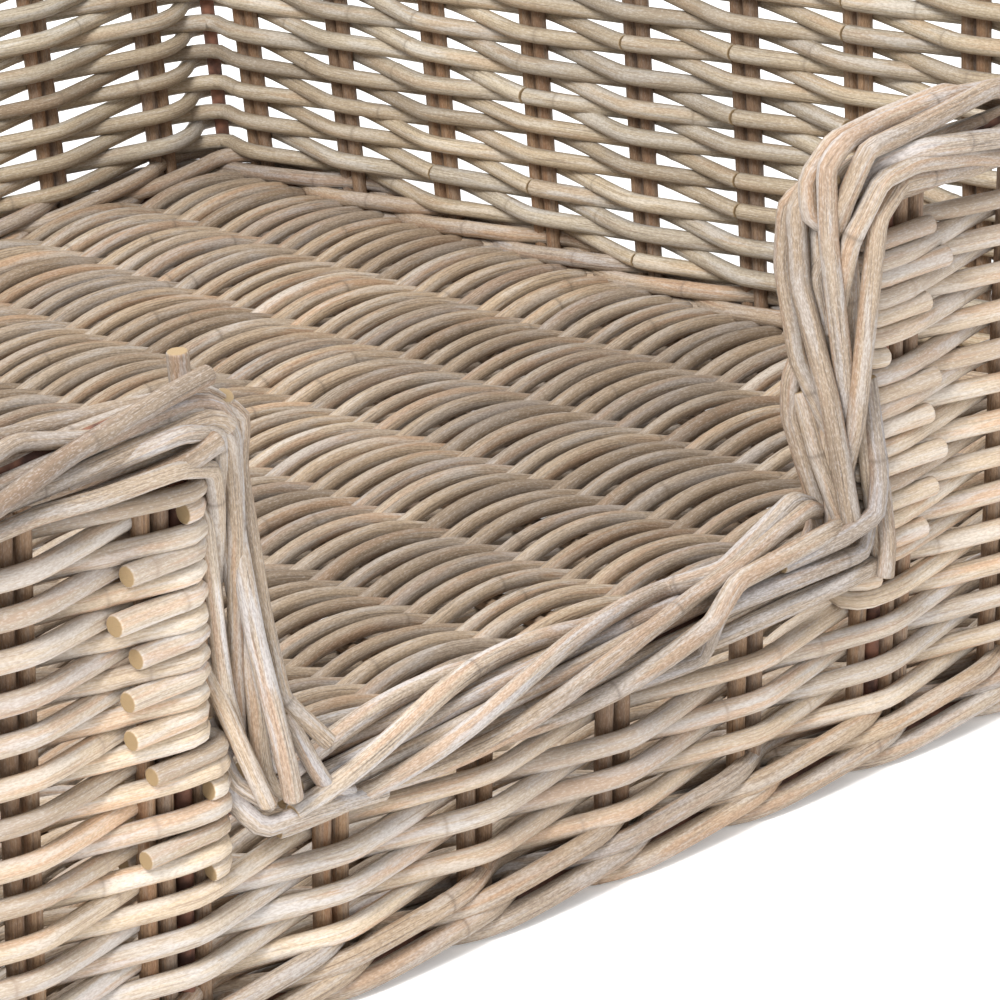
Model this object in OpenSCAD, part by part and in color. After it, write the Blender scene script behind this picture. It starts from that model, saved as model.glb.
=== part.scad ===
// Woven cane pet bed basket with a stepped entrance in the front wall.
// X runs along the front wall, +Y to the back, +Z up; the origin is the middle of the footprint.
// The long walls lean outwards, the end walls stand upright, and steel rods stiffen the edges.

/* [Basket] */
// Length between the middles of the two end walls
base_l = 850; // [560:1:1100]
// Width between the middles of the long walls, at the floor
base_w = 650; // [420:1:850]
// Height of the top of the rim
wall_h = 226; // [180:1:300]
// Outward lean of the front and back walls, in degrees
wall_lean = 4.6; // [0:0.2:9]
// Radius of the outer corners, seen from above
corner_r = 26; // [12:1:32]

/* [Entrance] */
// Width between the stake groups at the two sides of the entrance
dip_w = 308; // [240:1:360]
// Height of the top of the sill
sill_h = 94; // [78:1:120]

/* [Cane] */
// Diameter of an upright wall stake
stake_d = 6; // [4:0.5:7]
// Diameter of a weaving strand of the walls
strand_d = 7; // [5:0.5:9]
// Distance from one stake pair to the next
stake_pitch = 60; // [48:1:72]
// Diameter of a floor stake
floor_stake_d = 5; // [4:0.5:6]
// Diameter of a weaving strand of the floor
floor_strand_d = 6; // [4:0.5:7]
// How far a stake end reaches into a border
socket = 9; // [5:1:11]

/* [Borders] */
// Width of the plaited rim
rim_w = 34; // [30:1:42]
// Height of the plaited rim
rim_h = 34; // [30:1:42]
// Height of the plaited sill border
sill_border_h = 31; // [27:1:38]
// Thickness of the plaited border down each side of the entrance
side_border_t = 22; // [14:1:26]
// Width of the wale that the basket stands on
wale_w = 28; // [24:1:36]
// Height of the wale that the basket stands on
wale_h = 24; // [22:1:32]
// Radius of the borders' long edges
border_r = 9; // [4:0.5:10]

/* [Steel frame] */
// Diameter of the base ring and the rim rod
ring_rod_d = 7; // [6:0.5:8]
// Diameter of the upright posts
post_rod_d = 6; // [5:0.5:6]
// Diameter of the bar under the sill
bar_rod_d = 5; // [4:0.5:5]
// Height of the base ring's middle
ring_z = 8; // [6:0.5:9]
// Depth of the rim rod's middle below the top of the rim
rim_rod_depth = 12; // [8:0.5:14]

/* [Fits] */
// Gap all round a stake or a rod in its bore
bore_gap = 0.25; // [0.1:0.05:0.4]
// Gap between two woven pieces that lie end to end
butt_gap = 0.4; // [0.2:0.1:1]
// Gap between the two stakes of a pair
pair_gap = 1.2; // [1:0.1:2]
// Gap from the end of a floor stake to the base ring
floor_end_gap = 2; // [1:0.5:4]
// Least distance from the last stake pair to the face of the next wall
corner_clear = 6; // [4:0.5:20]
// Cane left outside the last bore at the entrance
edge_land = 4; // [3:0.5:6]

/* [Hidden] */
$fn = 48;

lean = tan(wall_lean);
half_l = base_l / 2;
half_w = base_w / 2;
weave_t = stake_d + 2 * strand_d;
floor_t = floor_stake_d + 2 * floor_strand_d;
floor_clear = 1;
floor_mid_z = floor_clear + floor_t / 2;
pair_step = stake_d + pair_gap;
floor_pair_step = floor_stake_d + pair_gap;
rim_z = wall_h - rim_h;
rim_mid_z = wall_h - rim_h / 2;
rim_rod_z = wall_h - rim_rod_depth;
sill_z = sill_h - sill_border_h;
sill_mid_z = sill_h - sill_border_h / 2;

// The stake group beside the entrance: two stakes, the steel post, then one stake
edge_x = dip_w / 2;
edge_stakes = [edge_x + 1.25 * pair_step, edge_x + 0.25 * pair_step, edge_x - 1.65 * pair_step];
post_x = edge_x - 0.7 * pair_step;
edge_end_x = edge_x - 1.65 * pair_step - stake_d / 2 - edge_land;
side_border_x = edge_end_x - side_border_t - butt_gap;

// Stake places, counted out from the middle of each wall
last_x = half_l - weave_t / 2 - pair_step - corner_clear;
last_y = half_w - weave_t / 2 - pair_step - corner_clear;
wall_xs = [for (x = [stake_pitch / 2 : stake_pitch : last_x]) each [-x, x]];
front_xs = [for (x = wall_xs) if (x > edge_x + stake_pitch / 2) x];
sill_xs = [for (x = wall_xs) if (abs(x) < edge_x - stake_pitch / 2) x];
side_ys = [for (y = [0 : stake_pitch : last_y]) each (y == 0 ? [0] : [-y, y])];

// Where the middle of a long wall stands at height z, for the wall on side s (-1 front, 1 back)
function wall_y(s, z) = s * (half_w + lean * z);

module rounded_box_2d(w, h, r) {
    square([w - 2 * r, h], center = true);
    square([w, h - 2 * r], center = true);
    for (sx = [-1, 1], sy = [-1, 1]) translate([sx * (w / 2 - r), sy * (h / 2 - r)]) circle(r);
}

module flat_bottom_2d(w, h, r) {
    translate([-w / 2, 0]) square([w, h - r]);
    translate([-w / 2 + r, 0]) square([w - 2 * r, h]);
    for (s = [-1, 1]) translate([s * (w / 2 - r), h - r]) circle(r);
}

// A bar along X from x0 to x1, with the 2-D child as its section (section x is Y, section y is Z)
module along_x(x0, x1) {
    translate([x0, 0, 0]) rotate([90, 0, 90]) linear_extrude(x1 - x0) children();
}

// A bar along Y from y0 to y1, with the 2-D child as its section (section x is X, section y is Z)
module along_y(y0, y1) {
    translate([0, y1, 0]) rotate([90, 0, 0]) linear_extrude(y1 - y0) children();
}

// A round rod from point a to point b
module rod(a, b, d) {
    v = b - a;
    len = norm(v);
    translate(a) rotate([0, acos(v[2] / len), atan2(v[1], v[0])]) cylinder(h = len, d = d);
}

// Rods through a list of points, with a ball at each bend
module bent_rod(points, d) {
    for (i = [0 : len(points) - 2]) rod(points[i], points[i + 1], d);
    for (i = [1 : len(points) - 2]) translate(points[i]) sphere(d = d);
}

// ---- steel frame ----

// Base ring, as wide as grow allows
module base_ring(grow = 0) {
    d = ring_rod_d + 2 * grow;
    for (s = [-1, 1]) {
        rod([-half_l, s * half_w, ring_z], [half_l, s * half_w, ring_z], d);
        rod([s * half_l, -half_w, ring_z], [s * half_l, half_w, ring_z], d);
        for (t = [-1, 1]) translate([s * half_l, t * half_w, ring_z]) sphere(d = d);
    }
}

// Rim rod from one entrance round the back to the other, with both ends just past the posts
module rim_rod(grow = 0) {
    yf = wall_y(-1, rim_rod_z);
    yb = wall_y(1, rim_rod_z);
    end_x = post_x - post_rod_d;
    bent_rod([
        [end_x, yf, rim_rod_z],
        [half_l, yf, rim_rod_z],
        [half_l, yb, rim_rod_z],
        [-half_l, yb, rim_rod_z],
        [-half_l, yf, rim_rod_z],
        [-end_x, yf, rim_rod_z]
    ], ring_rod_d + 2 * grow);
}

// A post at x, in the wall on side s, standing on the base ring under the rim rod
module post(x, s, grow = 0) {
    z0 = ring_z + ring_rod_d / 2;
    z1 = rim_rod_z - ring_rod_d / 2;
    rod([x, wall_y(s, z0), z0], [x, wall_y(s, z1), z1], post_rod_d + 2 * grow);
}

module corner_posts(grow = 0) {
    for (x = [-half_l, half_l], s = [-1, 1]) post(x, s, grow);
}

module entrance_posts(grow = 0) {
    for (x = [-post_x, post_x]) post(x, -1, grow);
}

// The bar between the faces of the two entrance posts
module sill_bar(grow = 0) {
    x = post_x - post_rod_d / 2;
    y = wall_y(-1, sill_mid_z);
    rod([-x, y, sill_mid_z], [x, y, sill_mid_z], bar_rod_d + 2 * grow);
}

module frame_base_ring() { color("#7a5647") base_ring(); }

module frame_rim_rod() { color("#7a5647") rim_rod(); }

module frame_corner_posts() { color("#7a5647") corner_posts(); }

module frame_entrance_posts() { color("#7a5647") entrance_posts(); }

module frame_sill_bar() { color("#7a5647") sill_bar(); }

// ---- stakes ----

// Stakes at the places xs of the long wall on side s, from z0 to z1
module long_wall_stakes(s, xs, z0, z1, grow = 0) {
    for (x = xs) rod([x, wall_y(s, z0), z0], [x, wall_y(s, z1), z1], stake_d + 2 * grow);
}

// Both stakes of each pair
function paired(places, step) = [for (p = places) each [p - step / 2, p + step / 2]];

// Stakes of the end wall at x; each leans as much as its place between the leaning walls asks
module end_wall_stakes(x, z0, z1, grow = 0) {
    for (y = paired(side_ys, pair_step))
        rod([x, y * (1 + lean * z0 / half_w), z0], [x, y * (1 + lean * z1 / half_w), z1], stake_d + 2 * grow);
}

stake_z0 = wale_h - socket;
stake_z1 = rim_z + socket;
sill_stake_z1 = sill_z + socket;

module back_stakes(grow = 0) {
    long_wall_stakes(1, paired(wall_xs, pair_step), stake_z0, stake_z1, grow);
}

// Stakes of the front wall beside the entrance, on the side t (-1 left, 1 right)
module front_stakes(t, grow = 0) {
    xs = concat(paired(front_xs, pair_step), edge_stakes);
    long_wall_stakes(-1, [for (x = xs) t * x], stake_z0, stake_z1, grow);
}

module all_sill_stakes(grow = 0) {
    long_wall_stakes(-1, paired(sill_xs, pair_step), stake_z0, sill_stake_z1, grow);
}

module wall_stakes_back() { color("#a08a70") back_stakes(); }
module wall_stakes_left() { color("#a08a70") end_wall_stakes(-half_l, stake_z0, stake_z1); }
module wall_stakes_right() { color("#a08a70") end_wall_stakes(half_l, stake_z0, stake_z1); }
module wall_stakes_front_left() { color("#a08a70") front_stakes(-1); }
module wall_stakes_front_right() { color("#a08a70") front_stakes(1); }
module sill_stakes() { color("#a08a70") all_sill_stakes(); }

// Floor stakes run from the front wale to the back wale
floor_reach = half_w - ring_rod_d / 2 - bore_gap - floor_end_gap;
module all_floor_stakes(grow = 0) {
    for (x = paired(wall_xs, floor_pair_step))
        rod([x, -floor_reach, floor_mid_z], [x, floor_reach, floor_mid_z], floor_stake_d + 2 * grow);
}

module floor_stakes() { color("#98826a") all_floor_stakes(); }

// ---- woven panels ----

module floor_weave() {
    lx = base_l - wale_w - 2 * butt_gap;
    ly = base_w - wale_w - 2 * butt_gap;
    color("#a89075") difference() {
        translate([-lx / 2, -ly / 2, floor_clear]) cube([lx, ly, floor_t]);
        all_floor_stakes(bore_gap);
    }
}

// Section of a leaning wall on side s between the heights z0 and z1
module leaning_2d(s, z0, z1) {
    t = weave_t / 2;
    polygon([
        [wall_y(s, z0) - t, z0],
        [wall_y(s, z0) + t, z0],
        [wall_y(s, z1) + t, z1],
        [wall_y(s, z1) - t, z1]
    ]);
}

panel_end_x = half_l - weave_t / 2 - butt_gap;

module wall_weave_back() {
    color("#b09a7e") difference() {
        along_x(-panel_end_x, panel_end_x) leaning_2d(1, wale_h, rim_z);
        back_stakes(bore_gap);
    }
}

module end_weave(x) {
    t = weave_t / 2;
    y0 = wall_y(1, wale_h) + t;
    y1 = wall_y(1, rim_z) + t;
    color("#b8a284") difference() {
        along_x(x - t, x + t) polygon([[-y0, wale_h], [y0, wale_h], [y1, rim_z], [-y1, rim_z]]);
        end_wall_stakes(x, stake_z0, stake_z1, bore_gap);
        corner_posts(bore_gap);
    }
}

module wall_weave_left() { end_weave(-half_l); }
module wall_weave_right() { end_weave(half_l); }

module front_weave(t) {
    x0 = t > 0 ? edge_end_x : -panel_end_x;
    x1 = t > 0 ? panel_end_x : -edge_end_x;
    color("#cdb798") difference() {
        along_x(x0, x1) leaning_2d(-1, wale_h, rim_z);
        front_stakes(t, bore_gap);
        entrance_posts(bore_gap);
        sill_bar(bore_gap);
    }
}

module wall_weave_front_left() { front_weave(-1); }
module wall_weave_front_right() { front_weave(1); }

module sill_weave() {
    x = edge_end_x - butt_gap;
    color("#cdb798") difference() {
        along_x(-x, x) leaning_2d(-1, wale_h, sill_z);
        all_sill_stakes(bore_gap);
    }
}

// ---- borders ----

// A border piece on a long wall, from x0 to x1, with its middle at height z
module long_border(s, x0, x1, z, h) {
    along_x(x0, x1) translate([wall_y(s, z), z]) rounded_box_2d(rim_w, h, border_r);
}

rim_end_x = half_l - rim_w / 2 - butt_gap;

module rim_back() {
    color("#bfae94") difference() {
        long_border(1, -rim_end_x, rim_end_x, rim_mid_z, rim_h);
        back_stakes(bore_gap);
        rim_rod(bore_gap);
    }
}

// The rim of an end wall turns both corners
module end_rim(x) {
    outer_l = base_l + rim_w;
    outer_w = 2 * wall_y(1, rim_mid_z) + rim_w;
    color("#bfae94") difference() {
        intersection() {
            along_y(-outer_w / 2, outer_w / 2) translate([x, rim_mid_z]) rounded_box_2d(rim_w, rim_h, border_r);
            translate([0, 0, rim_z]) linear_extrude(rim_h) rounded_box_2d(outer_l, outer_w, corner_r);
        }
        end_wall_stakes(x, stake_z0, stake_z1, bore_gap);
        rim_rod(bore_gap);
        corner_posts(bore_gap);
    }
}

module rim_left() { end_rim(-half_l); }
module rim_right() { end_rim(half_l); }

module front_rim(t) {
    x0 = t > 0 ? edge_end_x : -rim_end_x;
    x1 = t > 0 ? rim_end_x : -edge_end_x;
    color("#d2c3aa") difference() {
        long_border(-1, x0, x1, rim_mid_z, rim_h);
        front_stakes(t, bore_gap);
        rim_rod(bore_gap);
        entrance_posts(bore_gap);
    }
}

module rim_front_left() { front_rim(-1); }
module rim_front_right() { front_rim(1); }

// The border down one side of the entrance leans with the wall and stands on the sill border
module entrance_border(t) {
    x0 = t > 0 ? side_border_x : -side_border_x - side_border_t;
    z1 = wall_h - border_r;
    color("#d2c3aa") along_x(x0, x0 + side_border_t) {
        polygon([
            [wall_y(-1, sill_h) - rim_w / 2, sill_h],
            [wall_y(-1, sill_h) + rim_w / 2, sill_h],
            [wall_y(-1, z1) + rim_w / 2, z1],
            [wall_y(-1, z1) - rim_w / 2, z1]
        ]);
        translate([wall_y(-1, z1) - rim_w / 2 + border_r, z1 - 1]) square([rim_w - 2 * border_r, border_r + 1]);
        for (s = [-1, 1]) translate([wall_y(-1, z1) + s * (rim_w / 2 - border_r), z1]) circle(border_r);
    }
}

module entrance_border_left() { entrance_border(-1); }
module entrance_border_right() { entrance_border(1); }

module sill_border() {
    x = edge_end_x - butt_gap;
    y = wall_y(-1, sill_mid_z);
    color("#d2c3aa") difference() {
        along_x(-x, x) translate([y, sill_mid_z]) rounded_box_2d(rim_w, sill_border_h, border_r);
        all_sill_stakes(bore_gap);
        sill_bar(bore_gap);
    }
}

wale_end_x = half_l - wale_w / 2 - butt_gap;

module long_wale(s) {
    color("#b59d80") difference() {
        along_x(-wale_end_x, wale_end_x) translate([s * half_w, 0]) flat_bottom_2d(wale_w, wale_h, border_r / 2);
        base_ring(bore_gap);
        all_floor_stakes(bore_gap);
        if (s > 0) back_stakes(bore_gap);
        if (s < 0) {
            front_stakes(-1, bore_gap);
            front_stakes(1, bore_gap);
            all_sill_stakes(bore_gap);
            entrance_posts(bore_gap);
        }
    }
}

module base_wale_front() { long_wale(-1); }
module base_wale_back() { long_wale(1); }

module end_wale(x) {
    outer_l = base_l + wale_w;
    outer_w = base_w + wale_w;
    color("#b59d80") difference() {
        intersection() {
            along_y(-outer_w / 2, outer_w / 2) translate([x, 0]) flat_bottom_2d(wale_w, wale_h, border_r / 2);
            linear_extrude(wale_h) rounded_box_2d(outer_l, outer_w, corner_r);
        }
        base_ring(bore_gap);
        end_wall_stakes(x, stake_z0, stake_z1, bore_gap);
        corner_posts(bore_gap);
    }
}

module base_wale_left() { end_wale(-half_l); }
module base_wale_right() { end_wale(half_l); }

frame_base_ring();
frame_rim_rod();
frame_corner_posts();
frame_entrance_posts();
frame_sill_bar();
floor_stakes();
floor_weave();
base_wale_front();
base_wale_back();
base_wale_left();
base_wale_right();
wall_stakes_back();
wall_stakes_left();
wall_stakes_right();
wall_stakes_front_left();
wall_stakes_front_right();
sill_stakes();
wall_weave_back();
wall_weave_left();
wall_weave_right();
wall_weave_front_left();
wall_weave_front_right();
sill_weave();
rim_back();
rim_left();
rim_right();
rim_front_left();
rim_front_right();
entrance_border_left();
entrance_border_right();
sill_border();
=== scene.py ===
import bpy
import math
import numpy as np
from mathutils import Matrix, Vector


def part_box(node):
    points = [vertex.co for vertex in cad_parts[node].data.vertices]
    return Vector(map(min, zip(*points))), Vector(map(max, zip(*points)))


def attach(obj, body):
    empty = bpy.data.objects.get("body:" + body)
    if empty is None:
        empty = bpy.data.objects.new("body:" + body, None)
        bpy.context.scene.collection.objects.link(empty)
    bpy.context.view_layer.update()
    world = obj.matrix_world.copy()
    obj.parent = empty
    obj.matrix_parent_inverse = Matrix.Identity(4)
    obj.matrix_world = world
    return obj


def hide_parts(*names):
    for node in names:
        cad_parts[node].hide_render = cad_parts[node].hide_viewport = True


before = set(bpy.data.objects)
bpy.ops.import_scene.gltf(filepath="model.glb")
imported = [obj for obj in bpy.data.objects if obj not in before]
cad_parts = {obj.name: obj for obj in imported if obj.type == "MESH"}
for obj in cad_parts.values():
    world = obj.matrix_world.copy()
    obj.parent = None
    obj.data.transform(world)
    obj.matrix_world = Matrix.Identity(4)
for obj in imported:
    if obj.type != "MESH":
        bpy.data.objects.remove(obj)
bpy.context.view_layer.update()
mm = 0.001


# ---- the room ----
# The basket stands on a pale studio floor under two wide soft lamps and an even white sky.
# The camera stands in front and to the left, over half a metre above the rim, and looks at the entrance.
def middle(node):
    lo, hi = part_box(node)
    return (lo + hi) / 2


scene = bpy.context.scene
scene.view_settings.view_transform = "Standard"

aim = Vector((30 * mm, middle("base_wale_front").y, 0))
turn, lift, tilt = math.radians(-41.918), math.radians(20.674), math.radians(-3.061)
reach = 1.9411
aim_right, aim_down = 0.1105, 0.3717
lens_mm, sensor_mm = 216.76, 36.0

back = Vector((math.sin(turn) * math.cos(lift), -math.cos(turn) * math.cos(lift), math.sin(lift)))
level = (-back).cross(Vector((0, 0, 1))).normalized()
upright = level.cross(-back)
right = math.cos(tilt) * level + math.sin(tilt) * upright
up = math.cos(tilt) * upright - math.sin(tilt) * level
frame_width = reach * sensor_mm / lens_mm
eye = aim + back * reach - right * aim_right * frame_width + up * aim_down * frame_width

camera = bpy.data.objects.new("camera", bpy.data.cameras.new("camera"))
camera.data.lens = lens_mm
camera.data.sensor_width = sensor_mm
camera.data.clip_start = 0.05
camera.data.clip_end = 40
camera.matrix_world = Matrix.Translation(eye) @ Matrix((right, up, back)).transposed().to_4x4()
scene.collection.objects.link(camera)
scene.camera = camera

sky = bpy.data.worlds.new("studio_sky")
sky.use_nodes = True
sky.node_tree.nodes["Background"].inputs["Color"].default_value = (0.97, 0.985, 1.0, 1)
sky.node_tree.nodes["Background"].inputs["Strength"].default_value = 0.95
scene.world = sky


def soft_lamp(name, place, size, watts, tint):
    lamp = bpy.data.objects.new(name, bpy.data.lights.new(name, "AREA"))
    lamp.data.size = size
    lamp.data.energy = watts
    lamp.data.color = tint
    lamp.location = place
    lamp.rotation_euler = (Vector((0, 0, 0.1)) - Vector(place)).to_track_quat("-Z", "Y").to_euler()
    scene.collection.objects.link(lamp)


soft_lamp("key_lamp", (-2.2, -1.2, 2.6), 1.0, 150, (1.0, 0.975, 0.94))
soft_lamp("top_lamp", (0.3, 0.6, 3.0), 1.4, 50, (1.0, 0.99, 0.97))


def shader(material, kind, **values):
    """A node of that kind in the material's tree, with its settings given by name."""
    made = material.node_tree.nodes.new("ShaderNode" + kind)
    for key, value in values.items():
        setattr(made, key, value)
    return made


studio_floor = bpy.data.meshes.new("studio_floor")
floor_half = 8.0
floor_corners = [(x * floor_half, y * floor_half, -0.3 * mm)
                 for x, y in ((-1, -1), (1, -1), (1, 1), (-1, 1))]
studio_floor.from_pydata(floor_corners, [], [(0, 1, 2, 3)])
floor_object = bpy.data.objects.new("studio_floor", studio_floor)
scene.collection.objects.link(floor_object)
pale_floor = bpy.data.materials.new("pale_floor")
pale_floor.use_nodes = True
pale_floor_skin = pale_floor.node_tree.nodes["Principled BSDF"]
pale_floor_skin.inputs["Roughness"].default_value = 0.9
pale_floor_skin.inputs["Emission Color"].default_value = (1, 1, 1, 1)
pale_floor_skin.inputs["Emission Strength"].default_value = 0.22
floor_grain = shader(pale_floor, "TexNoise")
floor_grain.inputs["Scale"].default_value = 3.0
floor_place = shader(pale_floor, "TexCoord")
pale_floor.node_tree.links.new(floor_place.outputs["Object"], floor_grain.inputs["Vector"])
floor_tone = shader(pale_floor, "Mix", data_type="RGBA")
floor_tone.inputs[6].default_value = (0.875, 0.875, 0.875, 1)
floor_tone.inputs[7].default_value = (0.89, 0.89, 0.89, 1)
pale_floor.node_tree.links.new(floor_grain.outputs["Fac"], floor_tone.inputs["Factor"])
pale_floor.node_tree.links.new(floor_tone.outputs[2], pale_floor_skin.inputs["Base Color"])
studio_floor.materials.append(pale_floor)


# ---- steel frame ----
# Drawn mild-steel rod, welded into a base ring, posts, a sill bar and a rim rod, left bare.
# It has a thin skin of brown rust that is darker in spots; the weaving hides most of it.
def srgb(red, green, blue):
    """A colour from its three bytes."""
    return tuple((c / 12.92 if c <= 0.04045 else ((c + 0.055) / 1.055) ** 2.4)
                 for c in (red / 255, green / 255, blue / 255)) + (1.0,)


def rust_finish():
    rust = bpy.data.materials.new("rusty_rod")
    rust.use_nodes = True
    skin = rust.node_tree.nodes["Principled BSDF"]
    place = shader(rust, "TexCoord")
    spots = shader(rust, "TexNoise")
    spots.inputs["Scale"].default_value = 160.0
    spots.inputs["Detail"].default_value = 5.0
    rust.node_tree.links.new(place.outputs["Object"], spots.inputs["Vector"])
    ramp = shader(rust, "ValToRGB")
    ramp.color_ramp.elements[0].position = 0.32
    ramp.color_ramp.elements[0].color = srgb(70, 46, 38)
    ramp.color_ramp.elements[1].position = 0.68
    ramp.color_ramp.elements[1].color = srgb(142, 98, 78)
    rust.node_tree.links.new(spots.outputs["Fac"], ramp.inputs["Fac"])
    rust.node_tree.links.new(ramp.outputs["Color"], skin.inputs["Base Color"])
    skin.inputs["Metallic"].default_value = 0.25
    skin.inputs["Roughness"].default_value = 0.7
    pits = shader(rust, "Bump")
    pits.inputs["Strength"].default_value = 0.5
    pits.inputs["Distance"].default_value = 0.3 * mm
    rust.node_tree.links.new(spots.outputs["Fac"], pits.inputs["Height"])
    rust.node_tree.links.new(pits.outputs["Normal"], skin.inputs["Normal"])
    return rust


rusty_rod = rust_finish()
for node in ("frame_base_ring", "frame_rim_rod", "frame_corner_posts", "frame_entrance_posts",
             "frame_sill_bar"):
    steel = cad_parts[node]
    steel.data.materials.clear()
    steel.data.materials.append(rusty_rod)


# ---- floor stakes ----
# Straight rattan poles in pairs that run from the front wale to the back wale inside the floor's weave.
# Like all the cane here they are peeled poles with fine ridges along them and a ring at each old leaf node.
def stake_lines(node):
    """The two end points of each round stake of a CAD node."""
    co = np.array([v.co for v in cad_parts[node].data.vertices])
    keys, index = np.unique(np.round(co, 5), axis=0, return_inverse=True)
    index = index.ravel()
    owner = np.arange(len(keys))

    def root(i):
        while owner[i] != i:
            owner[i] = owner[owner[i]]
            i = owner[i]
        return i

    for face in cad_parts[node].data.polygons:
        first = root(index[face.vertices[0]])
        for v in face.vertices[1:]:
            owner[root(index[v])] = first
    group = np.array([root(i) for i in range(len(keys))])
    lines = []
    for g in np.unique(group):
        points = keys[group == g]
        axis = np.argmax(np.ptp(points, axis=0))
        half = (points[:, axis].min() + points[:, axis].max()) / 2
        low, high = points[points[:, axis] < half], points[points[:, axis] > half]
        lines.append((low.mean(axis=0), high.mean(axis=0)))
    return lines


def wobble(along, seed, waves=(3.0, 1.5, 1.0, 0.5), lap=3.0):
    """A smooth random sway between about -1 and 1. Each wavelength is lap divided by a whole number."""
    luck = np.random.default_rng(seed)
    total = np.zeros_like(along)
    for n, share in enumerate(waves, start=1):
        whole = luck.integers(5 * n, 9 * n)
        total += share * np.sin(2 * math.pi * (along * whole / lap + luck.random()))
    return total / sum(waves)


first_ring, ring_gap = (0.02, 0.16), (0.11, 0.24)
ring_clear = 5 * mm
ring_near, ring_side = 0.9 * mm, 2.4 * mm
end_edge = 0.25 * mm


class Pole:
    """The middle line of one cane with what its skin needs at every point. A ring marks each leaf node."""

    def __init__(self, line, radius, seed, step=5.5 * mm, cuts=(True, True), start=0.0):
        line = np.asarray(line, float)
        gaps = np.linalg.norm(np.diff(line, axis=0), axis=1)
        run = np.concatenate([[0], np.cumsum(gaps)])
        total = run[-1]
        luck = np.random.default_rng(seed)
        tone = luck.random()
        spots = np.linspace(0, total, max(3, int(total / step) + 1))
        rings = []
        ring = luck.uniform(*first_ring)
        while ring < start + total:
            if start + ring_clear < ring < start + total - ring_clear:
                rings.append(ring - start)
            ring += luck.uniform(*ring_gap)
        near = [at + shift for at in rings for shift in (-ring_side, -ring_near, 0, ring_near, ring_side)]
        rim = [end_edge, ring_near, total - ring_near, total - end_edge]
        spots = np.unique(np.round(np.concatenate([spots, near, rim]), 6))
        spots = spots[(spots >= 0) & (spots <= total)]
        if abs(spots[-1] - total) > 1e-6:
            spots = np.append(spots, total)
        self.points = np.stack([np.interp(spots, run, line[:, k]) for k in range(3)], axis=1)
        self.along = spots + start
        self.girth = radius * (1 + 0.045 * wobble(self.along, seed + 5))
        self.knot = np.zeros(len(spots))
        for at in rings:
            away = np.abs(spots - at)
            self.girth *= 1 + 0.06 * np.exp(-(away / (1.3 * mm)) ** 2)
            self.girth *= np.where(away < 0.3 * mm, 0.965, 1.0)
            self.knot = np.maximum(self.knot, np.exp(-(away / (0.8 * mm)) ** 2))
        self.core = np.zeros(len(spots))
        for end, cut in ((0, cuts[0]), (-1, cuts[1])):
            inward = 1 if end == 0 else -2
            self.girth[end] *= 0.86 if cut else 0.985
            self.girth[inward] *= 0.975 if cut else 1.0
            self.core[end] = 1.0 if cut else 0.0
        self.tone = np.full(len(spots), tone)


def tree_input(tree, name, kind):
    return tree.interface.new_socket(name, in_out="INPUT", socket_type=kind)


def cane_tree():
    """Geometry nodes that turn middle lines into round canes with a skin that knows round and along."""
    tree = bpy.data.node_groups.new("cane_maker", "GeometryNodeTree")
    tree_input(tree, "Middle lines", "NodeSocketGeometry")
    tree_input(tree, "Sides", "NodeSocketInt")
    tree_input(tree, "Finish", "NodeSocketMaterial")
    tree.interface.new_socket("Canes", in_out="OUTPUT", socket_type="NodeSocketGeometry")
    new, link = tree.nodes.new, tree.links.new
    given = new("NodeGroupInput")
    lines = new("GeometryNodeMeshToCurve")
    link(given.outputs["Middle lines"], lines.inputs["Mesh"])
    circle = new("GeometryNodeCurvePrimitiveCircle")
    circle.inputs["Radius"].default_value = 1.0
    link(given.outputs["Sides"], circle.inputs["Resolution"])
    spot = new("GeometryNodeInputPosition")
    store = new("GeometryNodeStoreNamedAttribute")
    store.data_type = "FLOAT_VECTOR"
    store.inputs["Name"].default_value = "section"
    link(circle.outputs["Curve"], store.inputs["Geometry"])
    link(spot.outputs["Position"], store.inputs["Value"])
    girth = new("GeometryNodeInputNamedAttribute")
    girth.inputs["Name"].default_value = "girth"
    skin = new("GeometryNodeCurveToMesh")
    skin.inputs["Fill Caps"].default_value = True
    link(lines.outputs["Curve"], skin.inputs["Curve"])
    link(store.outputs["Geometry"], skin.inputs["Profile Curve"])
    link(girth.outputs["Attribute"], skin.inputs["Scale"])
    smooth = new("GeometryNodeSetShadeSmooth")
    link(skin.outputs["Mesh"], smooth.inputs["Geometry"])
    real = new("GeometryNodeRealizeInstances")
    link(smooth.outputs["Geometry"], real.inputs["Geometry"])
    finish = new("GeometryNodeSetMaterial")
    link(real.outputs["Geometry"], finish.inputs["Geometry"])
    link(given.outputs["Finish"], finish.inputs["Material"])
    result = new("NodeGroupOutput")
    link(finish.outputs["Geometry"], result.inputs["Canes"])
    return tree


cane_maker = cane_tree()


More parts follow.
